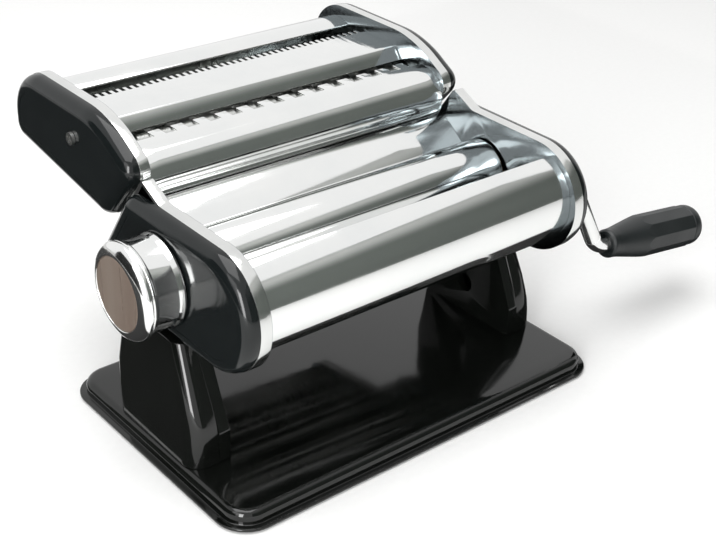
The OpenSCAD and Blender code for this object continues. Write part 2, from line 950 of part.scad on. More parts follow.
module right_bearing_block() {
    color(BRONZE)
        bearing_block();
}

module rear_roller() {
    p = [rear_y, roller_z];
    color(CHROME) {
        bar_x(-roller_x, roller_x, p, roller_r);
        bar_x(-block_out_x - block_flange_h + 0.2, gear_x + gear_w + 0.5, p, journal_r);
    }
}

module rear_gear() {
    color(STEEL)
        roller_gear(rear_y, 180 / gear_teeth);
}

// Disc with a spiral groove that draws the bearing block along, on the knob's shaft
module scroll_disc() {
    margin = 16;
    half = pin_r + free_clear;
    n = 40;
    sweep = [for (i = [0 : n]) -margin + (knob_turn + 2 * margin) * i / n];
    color(STEEL)
        mirror([1, 0, 0]) {
            difference() {
                bar_x(scroll_x, scroll_x + scroll_t, [rear_y, roller_z], scroll_r);
                along_x(scroll_x - 1, scroll_x + scroll_groove)
                    translate([rear_y, roller_z])
                        polygon(concat(
                            [for (t = sweep)
                                (pin_reach - scroll_step * t + half) * [cos(t), -sin(t)]],
                            [for (i = [n : -1 : 0])
                                (pin_reach - scroll_step * sweep[i] - half)
                                    * [cos(sweep[i]), -sin(sweep[i])]]
                        ));
            }
            bar_x(scroll_x + scroll_t - 0.1, reg_shaft_end, [rear_y, roller_z], reg_shaft_r);
        }
}

// Revolved shape on the regulator's axis, given as radius and distance out from the cover
module on_knob() {
    mirror([1, 0, 0])
        translate([0, rear_y, roller_z])
            rotate([0, 90, 0])
                rotate_extrude()
                    children();
}

module knob_barrel() {
    waist_r = knob_r - 1.6;
    ring = 1.7;
    ledge = 1.5;
    x0 = knob_back_x;
    x1 = knob_face_x;
    color(CHROME) {
        on_knob()
            polygon([
                [waist_r - knob_wall, x0],
                [waist_r + 0.6, x0],
                [waist_r + 0.9, x0 + 0.8],
                [waist_r + 0.3, x0 + 3],
                [waist_r + 0.4, x1 - 3.2 * ring],
                [knob_r - 0.5, x1 - 3 * ring],
                [knob_r - 0.2, x1 - 2 * ring],
                [knob_r - 0.8, x1 - 1.8 * ring],
                [knob_r, x1 - 1.5 * ring],
                [knob_r, x1 - 0.6 * ring],
                [knob_r - 1, x1],
                [face_r + 0.1, x1],
                [face_r + 0.1, face_back_x],
                [face_r - ledge, face_back_x],
                [face_r - ledge, knob_web_x + knob_wall],
                [reg_shaft_r + run_clear, knob_web_x + knob_wall],
                [reg_shaft_r + run_clear, x0 + 0.4],
                [knob_hub_r, x0 + 0.4],
                [knob_hub_r, knob_web_x],
                [waist_r - knob_wall, knob_web_x],
            ]);
        mirror([1, 0, 0])
            bar_x(cover_x - 0.4, knob_web_x + 0.1, [rear_y - 13.9, roller_z], 1);
    }
}

module knob_face() {
    dish_depth = 0.4;
    color("#8d7a70")
        on_knob()
            polygon([
                [0, face_back_x],
                [face_r, face_back_x],
                [face_r, knob_face_x - 0.3],
                [face_r - 0.6, knob_face_x - 0.2],
                [0, knob_face_x - 0.2 - dish_depth],
            ]);
}

// Nut on the regulator's shaft, which the spring pushes against
module regulator_nut() {
    color(STEEL)
        mirror([1, 0, 0])
            difference() {
                along_x(nut_x, nut_x + nut_t)
                    translate([rear_y, roller_z])
                        circle(nut_r, $fn = 6);
                bar_x(nut_x - 1, nut_x + nut_t + 1, [rear_y, roller_z], reg_shaft_r + run_clear / 2);
            }
}

// Helical spring that draws the knob back to the cover
module knob_spring() {
    sides = 6;
    rings = 12;
    count = spring_turns * rings;
    low = knob_web_x + knob_wall + spring_wire_r + 0.1;
    high = nut_x - spring_wire_r - 0.1;
    points = [for (i = [0 : count], j = [0 : sides - 1])
        let (
            a = 360 * i / rings,
            b = 360 * j / sides,
            r = spring_r + spring_wire_r * cos(b)
        )
        [low + (high - low) * i / count + spring_wire_r * sin(b), r * cos(a), r * sin(a)]];
    walls = [for (i = [0 : count - 1], j = [0 : sides - 1])
        let (k = (j + 1) % sides)
        each [
            [i * sides + j, (i + 1) * sides + j, (i + 1) * sides + k],
            [i * sides + j, (i + 1) * sides + k, i * sides + k],
        ]];
    first = [for (j = [0 : sides - 1]) j];
    last = [for (j = [sides - 1 : -1 : 0]) count * sides + j];
    color(STEEL)
        mirror([1, 0, 0])
            translate([0, rear_y, roller_z])
                polyhedron(points, concat([first, last], walls));
}

// Cutter end plate with four bearing holes, two of them of the driven rollers
module cutter_plate(drive_journal_r) {
    difference() {
        dish(cut_corners, cut_plate_x, cut_rim_x, plate_sheet);
        for (y = [wide_rear_y, fine_rear_y])
            bar_x(cut_plate_x - 1, cut_web_x + 1, [y, cut_z], cut_shaft_r + run_clear);
        for (y = [wide_front_y, fine_front_y])
            bar_x(cut_plate_x - 1, cut_web_x + 1, [y, cut_z], drive_journal_r + run_clear);
    }
}

module cutter_left_plate() {
    color(CHROME)
        mirror([1, 0, 0])
            cutter_plate(cut_shaft_r);
}

module cutter_right_plate() {
    color(CHROME)
        cutter_plate(drive_r);
}

module cutter_cover() {
    difference() {
        domed_cover(cut_corners, cut_rim_x, cover_h, cover_wall);
        bar_x(cut_rim_x, cut_cover_x + 1, cut_screw_at, cut_screw_shank_r + run_clear);
    }
}

module cutter_left_cover() {
    color(BLACK)
        mirror([1, 0, 0])
            cutter_cover();
}

module cutter_right_cover() {
    color(BLACK)
        difference() {
            cutter_cover();
            for (y = [wide_front_y, fine_front_y])
                bar_x(cut_rim_x, cut_cover_x + 1, [y, cut_z], drive_r + free_clear);
        }
}

// Pan head screws that hold the cutter covers
module cutter_screws() {
    head_h = 1.3;
    slot_w = 0.7;
    color(STEEL)
        both_sides()
            difference() {
                union() {
                    bar_x(cut_web_x, cut_cover_x + 0.1, cut_screw_at, cut_screw_shank_r);
                    bar_x(cut_cover_x, cut_cover_x + head_h, cut_screw_at, cut_screw_r);
                }
                for (a = [20, 110])
                    translate([cut_cover_x + head_h, cut_screw_at[0], cut_screw_at[1]])
                        rotate([a, 0, 0])
                            cube([1.2, slot_w, 2 * cut_screw_r - 1.4], center = true);
            }
}

// Teeth at the rear edge of a level sheet, one over each groove of the front roller behind it
module edge_teeth(w, edge, tooth_len) {
    root = 0.5;
    for (i = [0 : disc_count(w) - 1])
        translate([disc_x(w, i, 1), edge[0] - root, edge[1] - guard_sheet])
            cube([w, tooth_len + root, guard_sheet]);
}

// Guard over the cutter's nose: a level lip with broad teeth, a bend and a skirt
module cutter_front_guard() {
    a_end = 225;
    skirt = 11;
    tooth_len = 5.3;
    lip = [wide_y - 9.8, cut_front_arc[1] + cut_front_arc_r];
    tail = cut_front_arc + cut_front_arc_r * [cos(a_end), sin(a_end)];
    color(CHROME) {
        along_x(-cut_plate_x, cut_plate_x)
            polygon(band(
                concat(
                    [lip],
                    arc(cut_front_arc, cut_front_arc_r, 90, a_end, 26),
                    [tail + skirt * [cos(a_end + 90), sin(a_end + 90)]]
                ),
                guard_sheet
            ));
        edge_teeth(wide_w, lip, tooth_len);
    }
}

module cutter_rear_guard() {
    color(CHROME)
        along_x(-cut_plate_x, cut_plate_x)
            polygon(band(arc(cut_rear_arc, cut_rear_arc_r, -40, 128, 32), guard_sheet));
}

// Roof between the two feed gaps: a slope to the broad cut, a level top with fine teeth
module cutter_centre_plate() {
    tooth_len = 3.3;
    crease = [wide_y + 7.8, cut_top - 7.3];
    rear_edge = [fine_y - 7.5, crease[1]];
    slope = [3.8, 5.8];
    color(CHROME) {
        along_x(-cut_plate_x, cut_plate_x)
            polygon(band([rear_edge, crease, crease - slope], guard_sheet));
        edge_teeth(fine_w, rear_edge, tooth_len);
    }
}

module cutter_tongues() {
    foot_clear = slide_clear;
    x0 = rail_in_x + rail_cheek + slide_clear;
    x1 = plate_x - rail_cheek - slide_clear;
    color(STEEL)
        both_sides()
            on_rail() {
                translate([x0, foot_clear, rail_low + rail_floor + foot_clear])
                    cube([x1 - x0, tongue_lift, tongue_len]);
                translate([x0, rail_depth + slide_clear, rail_low + rail_floor + foot_clear])
                    cube([cut_plate_x - x0, tongue_lift - rail_depth, tongue_len]);
            }
}

module cutter_tie_rods() {
    color(STEEL)
        for (p = cut_tie_at)
            bar_x(-cut_plate_x, cut_plate_x, p, cut_tie_r);
}

// Number of whole disc pitches that fit on a cutter roller
function disc_count(w) = floor((2 * cut_roller_x - 2) / (2 * w));

// Start of disc i: the two rollers of a pair are set half a pitch apart
function disc_x(w, i, shift) = -disc_count(w) * w + 2 * w * i + shift * w;

// Cutter roller turned from one bar: discs with grooves between them
module cutter_roller(axis_y, w, shift, drive) {
    n = disc_count(w);
    steps = [for (i = [0 : n - 1])
        let (a = disc_x(w, i, shift) + cut_core_clear, b = a + w - 2 * cut_core_clear)
        each [[cut_floor_r, a], [cut_r, a], [cut_r, b], [cut_floor_r, b]]];
    gear_end = cut_gear_x + cut_gear_w + 0.2;
    difference() {
        union() {
            translate([0, axis_y, cut_z])
                rotate([0, 90, 0])
                    rotate_extrude()
                        polygon(concat(
                            [[0, -cut_roller_x], [cut_floor_r, -cut_roller_x]],
                            steps,
                            [[cut_floor_r, cut_roller_x], [0, cut_roller_x]]
                        ));
            bar_x(-gear_end, cut_web_x + 1, [axis_y, cut_z], cut_shaft_r);
            if (drive)
                bar_x(cut_roller_x - 1, cut_drive_x, [axis_y, cut_z], drive_r);
        }
        if (drive)
            drive_socket(cut_drive_x, [axis_y, cut_z], cut_drive_depth);
    }
}

module wide_roller_front() {
    color(STEEL)
        cutter_roller(wide_front_y, wide_w, 0, true);
}

module wide_roller_rear() {
    color(STEEL)
        cutter_roller(wide_rear_y, wide_w, 1, false);
}

module fine_roller_front() {
    color(STEEL)
        cutter_roller(fine_front_y, fine_w, 0, true);
}

module fine_roller_rear() {
    color(STEEL)
        cutter_roller(fine_rear_y, fine_w, 1, false);
}

// Comb whose teeth lie in the grooves of one roller; side 1 has its nip to the rear
module comb(axis_y, w, shift, side) {
    tooth_side = 0.2;
    tip = 1.5;
    root = 5.2;
    back = 11;
    sheet = 0.6;
    tangent = -60;
    n = disc_count(w);
    reach = cut_floor_r + free_clear;
    translate([0, axis_y, cut_z])
        mirror([0, side > 0 ? 0 : 1, 0])
            rotate([tangent, 0, 0])
                translate([0, reach, 0])
                    union() {
                        translate([-cut_plate_x, 0, -back])
                            cube([2 * cut_plate_x, sheet, back - root]);
                        for (i = [0 : n])
                            let (a = disc_x(w, i - 1, shift) + w + tooth_side)
                            if (a > -cut_roller_x && a + w - 2 * tooth_side < cut_roller_x)
                                translate([a, 0, -root - 0.1])
                                    cube([w - 2 * tooth_side, sheet, root + tip]);
                    }
}

module wide_combs() {
    color(STEEL) {
        comb(wide_front_y, wide_w, 0, 1);
        comb(wide_rear_y, wide_w, 1, -1);
    }
}

module fine_combs() {
    color(STEEL) {
        comb(fine_front_y, fine_w, 0, 1);
        comb(fine_rear_y, fine_w, 1, -1);
    }
}

module cutter_gear(axis_y, phase) {
    root_w = 2;
    tip_w = 0.8;
    x1 = cut_gear_x + cut_gear_w;
    mirror([1, 0, 0])
        difference() {
            along_x(cut_gear_x, x1)
                translate([axis_y, cut_z])
                    gear(cut_gear_teeth, cut_gear_root_r, cut_gear_tip_r, root_w, tip_w, phase);
            bar_x(cut_gear_x - 1, x1 + 1, [axis_y, cut_z], cut_shaft_r + run_clear / 2);
        }
}

module wide_gear_front() {
    color(STEEL)
        cutter_gear(wide_front_y, 0);
}

module wide_gear_rear() {
    color(STEEL)
        cutter_gear(wide_rear_y, 180 / cut_gear_teeth);
}

module fine_gear_front() {
    color(STEEL)
        cutter_gear(fine_front_y, 0);
}

module fine_gear_rear() {
    color(STEEL)
        cutter_gear(fine_rear_y, 180 / cut_gear_teeth);
}

base_plate();
rubber_feet();
left_leg_plate();
right_leg_plate();
left_leg_cover();
right_leg_cover();
leg_bolts();
left_end_plate();
right_end_plate();
left_cover();
right_cover();
front_guard();
hopper_plate();
rear_panel();
front_scraper();
rear_scraper();
tie_rods();
front_bushes();
cutter_rails();
front_roller();
front_gear();
crank_rod();
crank_grip();
grip_cap();
left_bearing_block();
right_bearing_block();
rear_roller();
rear_gear();
scroll_disc();
regulator_nut();
knob_barrel();
knob_face();
knob_spring();
cutter_left_plate();
cutter_right_plate();
cutter_left_cover();
cutter_right_cover();
cutter_screws();
cutter_front_guard();
cutter_rear_guard();
cutter_centre_plate();
cutter_tongues();
cutter_tie_rods();
wide_combs();
fine_combs();
wide_roller_front();
wide_roller_rear();
fine_roller_front();
fine_roller_rear();
wide_gear_front();
wide_gear_rear();
fine_gear_front();
fine_gear_rear();
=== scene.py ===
import bmesh
import bpy
import json
import math
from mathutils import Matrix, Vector

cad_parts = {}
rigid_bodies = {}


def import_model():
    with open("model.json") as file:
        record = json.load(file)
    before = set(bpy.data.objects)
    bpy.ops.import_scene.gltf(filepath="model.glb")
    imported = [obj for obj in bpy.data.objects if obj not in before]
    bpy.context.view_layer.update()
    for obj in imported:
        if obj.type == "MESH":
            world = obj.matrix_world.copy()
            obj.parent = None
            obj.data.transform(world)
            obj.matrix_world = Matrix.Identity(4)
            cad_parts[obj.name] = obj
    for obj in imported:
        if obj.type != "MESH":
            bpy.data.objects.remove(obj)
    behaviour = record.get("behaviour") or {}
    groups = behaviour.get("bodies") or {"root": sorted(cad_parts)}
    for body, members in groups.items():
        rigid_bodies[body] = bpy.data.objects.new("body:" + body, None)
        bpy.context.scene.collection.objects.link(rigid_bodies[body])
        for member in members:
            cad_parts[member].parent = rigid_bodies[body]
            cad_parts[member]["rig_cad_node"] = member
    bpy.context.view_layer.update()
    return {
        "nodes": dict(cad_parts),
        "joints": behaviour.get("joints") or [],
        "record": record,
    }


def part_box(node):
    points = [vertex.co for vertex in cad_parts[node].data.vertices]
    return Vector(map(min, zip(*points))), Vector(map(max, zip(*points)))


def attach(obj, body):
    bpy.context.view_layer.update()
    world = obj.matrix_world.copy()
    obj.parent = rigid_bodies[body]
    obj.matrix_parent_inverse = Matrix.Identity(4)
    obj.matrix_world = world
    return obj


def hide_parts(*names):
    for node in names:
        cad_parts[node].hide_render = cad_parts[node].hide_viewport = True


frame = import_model()
record = frame["record"]
joints = {j["name"]: j for j in frame["joints"]}
body_of_node = {n: b for b, ns in record["behaviour"]["bodies"].items() for n in ns}
slot_of_node = {s["node"]: s["material_slot"] for s in record["subparts"]}


def joint_at(name):
    """Place of a joint, in metres."""
    return Vector(joints[name]["pos_m"])


# Sizes and places, in metres. Those of the solids come from the frame.
MM = 0.001
SAME = 1e-6  # points closer than this are one
NEAR = 1e-5  # the same for places that were worked out by different ways
front_axis = joint_at("crank_turn")
rear_axis = joint_at("regulator_turn")
grip_pivot = joint_at("grip_turn")
grip_axis = Vector(joints["grip_turn"]["axis"])
grip_solid = frame["nodes"]["crank_grip"]
grip_start = min((grip_solid.matrix_world @ v.co - grip_pivot).dot(grip_axis)
                 for v in grip_solid.data.vertices)
plate_x, rim_x = (corner.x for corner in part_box("right_end_plate"))
cover_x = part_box("right_cover")[1].x
cut_plate_x, cut_rim_x = (corner.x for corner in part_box("cutter_right_plate"))
cut_cover_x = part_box("cutter_right_cover")[1].x
base_low, base_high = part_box("base_plate")
sheet = 1.0 * MM
plate_sheet = 1.5 * MM
rim_edge = 0.45 * MM
hole_depth = 8 * MM
block_shift = 2 * MM  # the bearing block's bore lies this far before the rear roller's axis

# Radii of bores, in millimetres
roller_bore = 8.1
block_bore = 11.5
crank_bore = 6.15
spindle_bore = 4.2
socket_bore = 5.9
journal_bore = 3.7

# Heights along the knob's and the grip's own axis, in millimetres
disc_seat = 104.2
grip_body = 55

# Outline corners of the end pieces: across, up and corner radius, in millimetres
nose = [(-56.4, 104, 24.2), (-56.4, 55.6, 24.2), (24, 55.6, 10), (46, 71, 7.5)]
body_outline = nose + [(19.2, 109.8, 1.5), (7, 104, 4)]
cover_outline = nose + [(23.2, 104, 7.5)]
cutter_outline = [
    (115.2, 126.3, 20), (46, 126.3, 45), (19.6, 111.6, 7.5), (42.5, 84.9, 7.5), (115.2, 95.5, 8),
]


# Modelling steps

def begin(name, primitive, **settings):
    """Adds a primitive by itself, selected, in edit mode."""
    bpy.ops.object.select_all(action="DESELECT")
    primitive(**settings)
    piece = bpy.context.object
    piece.name = name
    piece.data.name = name
    bpy.ops.object.mode_set(mode="EDIT")
    return piece


def pick(piece, kind, test):
    """Selects the vertices, edges or faces that pass a test, and nothing else."""
    bpy.ops.mesh.select_mode(type=kind)
    bpy.ops.mesh.select_all(action="DESELECT")
    mesh = bmesh.from_edit_mesh(piece.data)
    items = {"VERT": mesh.verts, "EDGE": mesh.edges, "FACE": mesh.faces}[kind]
    for item in items:
        if test(item):
            item.select_set(True)
    mesh.select_flush_mode()
    bmesh.update_edit_mesh(piece.data)


def pick_level(piece, kind, axis, value):
    """Selects the edges or faces that lie at one value of an axis (0, 1 or 2)."""
    pick(piece, kind, lambda item: all(abs(v.co[axis] - value) < SAME for v in item.verts))


def middle(item):
    """Middle of an edge or face."""
    return sum((v.co for v in item.verts), Vector()) / len(item.verts)


def push(x=0.0, y=0.0, z=0.0):
    """Extrudes the selection by an offset."""
    bpy.ops.mesh.extrude_region_move(TRANSFORM_OT_translate={"value": (x, y, z)})


def drawn_face(name, corners, place, turn_per_step=5):
    """A flat face with round corners: each corner is (u, v, radius), and place puts u, v in space."""
    count = len(corners)
    least_turn = 0.01
    apart = 0.9999  # keeps two rounds that touch from overlapping
    piece = begin(name, bpy.ops.mesh.primitive_circle_add, vertices=count, radius=1, fill_type="NGON")
    spots = [place(u, v) for u, v, r in corners]
    for i, spot in enumerate(spots):
        mesh = bmesh.from_edit_mesh(piece.data)
        mesh.verts.ensure_lookup_table()
        offset = spot - mesh.verts[i].co
        pick(piece, "VERT", lambda v: v.index == i)
        bpy.ops.transform.translate(value=offset)
    for i, spot in enumerate(spots):
        before = spot - spots[i - 1]
        after = spots[(i + 1) % count] - spot
        turn = before.angle(after)
        radius = corners[i][2] * MM
        if radius > 0 and turn > least_turn:
            pick(piece, "VERT", lambda v: (v.co - spot).length < SAME)
            steps = max(2, round(math.degrees(turn) / turn_per_step))
            reach = radius * math.tan(turn / 2) * apart
            bpy.ops.mesh.bevel(affect="VERTICES", offset=reach, segments=steps)
    bpy.ops.mesh.select_all(action="SELECT")
    bpy.ops.mesh.remove_doubles(threshold=NEAR)
    pick(piece, "FACE", lambda f: True)
    return piece


def lathe(name, points, steps=96, turn_per_step=15):
    """A turned piece round Z from a closed outline of (radius, height, corner radius), in millimetres."""
    piece = drawn_face(name, points, lambda r, h: Vector((r * MM, 0, h * MM)), turn_per_step)
    bpy.ops.mesh.delete(type="ONLY_FACE")
    bpy.ops.mesh.select_all(action="SELECT")
    bpy.ops.mesh.spin(steps=steps, angle=math.tau, center=(0, 0, 0), axis=(0, 0, 1))
    tidy_faces()
    return piece


def tidy_faces():
    """Merges doubles and points the faces outwards."""
    bpy.ops.mesh.select_mode(type="VERT")
    bpy.ops.mesh.select_all(action="SELECT")
    bpy.ops.mesh.remove_doubles(threshold=SAME)
    bpy.ops.mesh.normals_make_consistent(inside=False)


def set_in_place(piece, location, rotation):
    """Turns and moves a piece that was modelled at the origin."""
    bpy.ops.object.mode_set(mode="OBJECT")
    piece.location = location
    piece.rotation_euler = rotation
    bpy.ops.object.transform_apply(location=True, rotation=True, scale=True)
    bpy.ops.object.mode_set(mode="EDIT")


def apply_modifier(piece, kind, **settings):
    """Adds a modifier and applies it."""
    bpy.context.view_layer.objects.active = piece
    modifier = piece.modifiers.new(kind.title(), kind)
    for key, value in settings.items():
        setattr(modifier, key, value)
    bpy.ops.object.modifier_apply(modifier=modifier.name)


def finish(piece, material, nodes, edge=0.0, edge_angle=40, smooth=32):
    """Closes a piece: soft edges, smooth shading, finish, and the nodes that it stands for."""
    tidy_faces()
    bpy.ops.object.mode_set(mode="OBJECT")
    if edge:
        apply_modifier(piece, "BEVEL", width=edge, segments=3, limit_method="ANGLE",
                       angle_limit=math.radians(edge_angle))
    bpy.ops.object.shade_smooth_by_angle(angle=math.radians(smooth))
    piece.data.materials.clear()
    piece.data.materials.append(material)
    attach(piece, body_of_node[nodes[0]])
    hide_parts(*nodes)


def hole(piece, centre, radius):
    """Cuts a round hole along X, with its radius in millimetres."""
    tidy_faces()
    bpy.ops.object.mode_set(mode="OBJECT")
    bpy.ops.object.select_all(action="DESELECT")
    bpy.ops.mesh.primitive_cylinder_add(vertices=64, radius=radius * MM, depth=hole_depth,
                                        location=centre, rotation=(0, math.pi / 2, 0))
    cutter = bpy.context.object
    bpy.ops.object.select_all(action="DESELECT")
    piece.select_set(True)
    bpy.context.view_layer.objects.active = piece
    apply_modifier(piece, "BOOLEAN", operation="DIFFERENCE", object=cutter, solver="EXACT")
    bpy.data.objects.remove(cutter)
    bpy.ops.object.mode_set(mode="EDIT")


# Materials

def linear(code):
    """sRGB hex to the linear colour that Blender's sockets hold."""
    parts = [int(code[i:i + 2], 16) / 255 for i in (1, 3, 5)]
    straight = [c / 12.92 if c <= 0.04045 else ((c + 0.055) / 1.055) ** 2.4 for c in parts]
    return tuple(straight) + (1.0,)


def add(tree, kind, links=None, values=None, **settings):
    """Adds a node with its settings, values and links."""
    node = tree.nodes.new(kind)
    for key, value in settings.items():
        setattr(node, key, value)
    for key, value in (values or {}).items():
        node.inputs[key].default_value = value
    for key, socket in (links or {}).items():
        tree.links.new(socket, node.inputs[key])
    return node


def new_material(name):
    """An empty node material and the object's coordinates."""
    material = bpy.data.materials.new(name)
    material.use_nodes = True
    tree = material.node_tree
    tree.nodes.clear()
    place = add(tree, "ShaderNodeTexCoord").outputs["Object"]
    return material, tree, place


def per_mm(size):
    """Texture scale for a pattern whose repeat is size millimetres."""
    return 1 / (size * MM)


def noise(tree, place, size, detail, **values):
    """Noise with grains of about size millimetres."""
    values = {"Scale": per_mm(size), "Detail": detail, **values}
    return add(tree, "ShaderNodeTexNoise", {"Vector": place}, values).outputs["Fac"]


def ranged(tree, value, low, high, to_low, to_high):
    """Maps the range from low to high onto another range."""
    values = {"From Min": low, "From Max": high, "To Min": to_low, "To Max": to_high}
    return add(tree, "ShaderNodeMapRange", {"Value": value}, values).outputs["Result"]


def blend(tree, factor, first, second):
    """A colour between two sRGB hex colours."""
    node = add(tree, "ShaderNodeMix", {"Factor": factor}, data_type="RGBA")
    node.inputs["A"].default_value = linear(first)
    node.inputs["B"].default_value = linear(second)
    return node.outputs["Result"]


def overlay(tree, factor, under, over):
    """A colour with an sRGB hex colour laid over it."""
    node = add(tree, "ShaderNodeMix", {"Factor": factor, "A": under}, data_type="RGBA")
    node.inputs["B"].default_value = linear(over)
    return node.outputs["Result"]


def relief(tree, height, strength, depth):
    """Bump from a height, with its depth in millimetres."""
    values = {"Strength": strength, "Distance": depth * MM}
    return add(tree, "ShaderNodeBump", {"Height": height}, values).outputs["Normal"]


def surface(tree, links, values):
    """Ends a material in its shader."""
    shader = add(tree, "ShaderNodeBsdfPrincipled", links, values)
    add(tree, "ShaderNodeOutputMaterial", {"Surface": shader.outputs["BSDF"]})


def black_enamel():
    """Stoved black enamel on pressed steel: wet looking, with faint orange peel and settled dust."""
    material, tree, place = new_material("stoved_black_enamel")
    peel = noise(tree, place, 6, 2)
    specks = add(tree, "ShaderNodeTexVoronoi", {"Vector": place}, {"Scale": per_mm(7), "Randomness": 1})
    dust = ranged(tree, specks.outputs["Distance"], 0.03, 0.05, 1, 0)
    haze = noise(tree, place, 40, 4)
    colour = overlay(tree, dust, blend(tree, haze, "#070807", "#101210"), "#262826")
    surface(tree, {
        "Base Color": colour,
        "Roughness": ranged(tree, haze, 0.35, 0.7, 0.05, 0.11),
        "Normal": relief(tree, peel, 0.03, 0.4),
    }, {"IOR": 1.5})
    return material


def black_cover_gloss():
    """Moulded black ABS: deep gloss, dulled by a wiped film, and a slight waviness from the mould."""
    material, tree, place = new_material("moulded_black_abs")
    wave = noise(tree, place, 14, 1)
    wiped = noise(tree, place, 9, 6, Roughness=0.7, Distortion=0.6)
    surface(tree, {
        "Base Color": blend(tree, wiped, "#0b0e0f", "#171b1b"),
        "Roughness": ranged(tree, wiped, 0.3, 0.75, 0.06, 0.2),
        "Normal": relief(tree, wave, 0.04, 0.5),
    }, {"IOR": 1.54, "Specular IOR Level": 0.34})
    return material


def chrome_plate(name, colour, low, high, stretch, strength, web_x=-MM):
    """Chrome on rolled sheet: a mirror with long faint rolling marks along X and soft smudges.

    Its roughness lies between low and high. Within web_x of the middle, on the inner faces between
    the plates, it is dull grey as painted shade; the default leaves that out.
    """
    margin = 0.1 * MM
    material, tree, place = new_material(name)
    along = add(tree, "ShaderNodeMapping", {"Vector": place}, {"Scale": (stretch, 1, 1)})
    marks = noise(tree, along.outputs["Vector"], 1.6, 4)
    smudge = noise(tree, place, 30, 5, Roughness=0.6)
    mixed = add(tree, "ShaderNodeMath", {0: marks, 1: smudge}, operation="MULTIPLY")
    across = add(tree, "ShaderNodeSeparateXYZ", {"Vector": place})
    reach = add(tree, "ShaderNodeMath", {0: across.outputs["X"]}, operation="ABSOLUTE")
    # Mask of the inner faces between the plates, which get the dull grey #747b7e below as painted shade
    inner = add(tree, "ShaderNodeMath", {0: reach.outputs["Value"]}, {1: web_x + margin},
                operation="LESS_THAN")
    tint = blend(tree, smudge, colour, "#f3f3f1")
    surface(tree, {
        "Base Color": overlay(tree, inner.outputs["Value"], tint, "#747b7e"),
        "Roughness": ranged(tree, mixed.outputs["Value"], 0.12, 0.4, low, high),
        "Normal": relief(tree, marks, strength, 0.05),
    }, {"Metallic": 1})
    return material


def turned_steel():
    """Turned steel with a thin coat of oil: fine tool rings across X and a soft grey sheen."""
    material, tree, place = new_material("turned_steel")
    rings = add(tree, "ShaderNodeTexWave", {"Vector": place},
                {"Scale": per_mm(1.2), "Distortion": 0.6, "Detail": 2}, bands_direction="X")
    stain = noise(tree, place, 12, 4)
    surface(tree, {
        "Base Color": blend(tree, stain, "#b4b5b2", "#cbccca"),
        "Roughness": ranged(tree, stain, 0.3, 0.7, 0.22, 0.38),
        "Normal": relief(tree, rings.outputs["Fac"], 0.12, 0.05),
    }, {"Metallic": 1})
    return material


def bearing_bronze():
    """Sintered bronze: warm, fine pores, a dull oily shine."""
    material, tree, place = new_material("sintered_bronze")
    pores = add(tree, "ShaderNodeTexVoronoi", {"Vector": place}, {"Scale": per_mm(0.8)})
    surface(tree, {
        "Base Color": blend(tree, pores.outputs["Distance"], "#7a5f35", "#b3915a"),
        "Normal": relief(tree, pores.outputs["Distance"], 0.2, 0.05),
    }, {"Metallic": 1, "Roughness": 0.42})
    return material


def foot_rubber():
    """Moulded rubber: matt, dark, with a fine grain."""
    material, tree, place = new_material("moulded_rubber")
    grain = noise(tree, place, 0.7, 3)
    surface(tree, {
        "Base Color": blend(tree, grain, "#141414", "#242423"),
        "Normal": relief(tree, grain, 0.3, 0.1),
    }, {"Roughness": 0.75})
    return material


def grip_plastic():
    """Moulded satin black plastic: a spark eroded grain that blurs the highlights on the flats."""
    material, tree, place = new_material("moulded_satin_plastic")
    grain = noise(tree, place, 0.45, 2)
    worn = noise(tree, place, 18, 4)
    surface(tree, {
        "Base Color": blend(tree, worn, "#0f1314", "#171c1d"),
        "Roughness": ranged(tree, worn, 0.3, 0.7, 0.34, 0.5),
        "Normal": relief(tree, grain, 0.15, 0.08),
    }, {"IOR": 1.5})
    return material


def knob_disc():
    """Satin metal disc, brushed up and down so that reflections smear; its rosy brown, streaked up and down,
    is a painted reflection of warm surroundings.
    """
    material, tree, place = new_material("brushed_disc_painted_reflection")
    along = add(tree, "ShaderNodeMapping", {"Vector": place}, {"Scale": (1, 1, 0.04)})
    brush = noise(tree, along.outputs["Vector"], 4, 1)
    reflection_streaks = noise(tree, along.outputs["Vector"], 14, 2)
    surface(tree, {
        # Rosy brown streaks: painted reflection of warm surroundings, not the disc's own colour
        "Base Color": blend(tree, reflection_streaks, "#7d6b60", "#a09489"),
        "Roughness": ranged(tree, brush, 0.3, 0.7, 0.22, 0.4),
    }, {"Metallic": 0.5})
    return material


drawn_chrome = ("#c9cbca", 0.08, 0.2, 0.5, 0.25)
enamel = black_enamel()
cover_gloss = black_cover_gloss()
chrome = chrome_plate("chrome_on_rolled_sheet", "#e4e6e6", 0.05, 0.14, 0.02, 0.05)
rim_chrome = chrome_plate("chrome_on_deep_drawn_sheet", *drawn_chrome, plate_x)
cutter_rim_chrome = chrome_plate("chrome_on_cutter_plates", *drawn_chrome, cut_plate_x)
finishes = {
    "black_paint": enamel,
    "black_cover": cover_gloss,
    "chrome": chrome,
    "steel": turned_steel(),
    "bronze": bearing_bronze(),
    "rubber": foot_rubber(),
    "grip_plastic": grip_plastic(),
    "spun_face": knob_disc(),
}
for name, node in frame["nodes"].items():
    node.data.materials.clear()
    node.data.materials.append(finishes[slot_of_node[name]])


# Pieces that repeat on both sides

def dish_plate(name, corners, side, x_web, x_rim):
    """Pressed plate: a flat web with a rim drawn up all round it."""
    piece = drawn_face(name, corners, lambda y, z: Vector((side * x_web, y * MM, z * MM)))
    push(x=side * (x_rim - x_web))
    bpy.ops.mesh.inset(thickness=plate_sheet, depth=0)
    push(x=side * (plate_sheet + x_web - x_rim))
    return piece


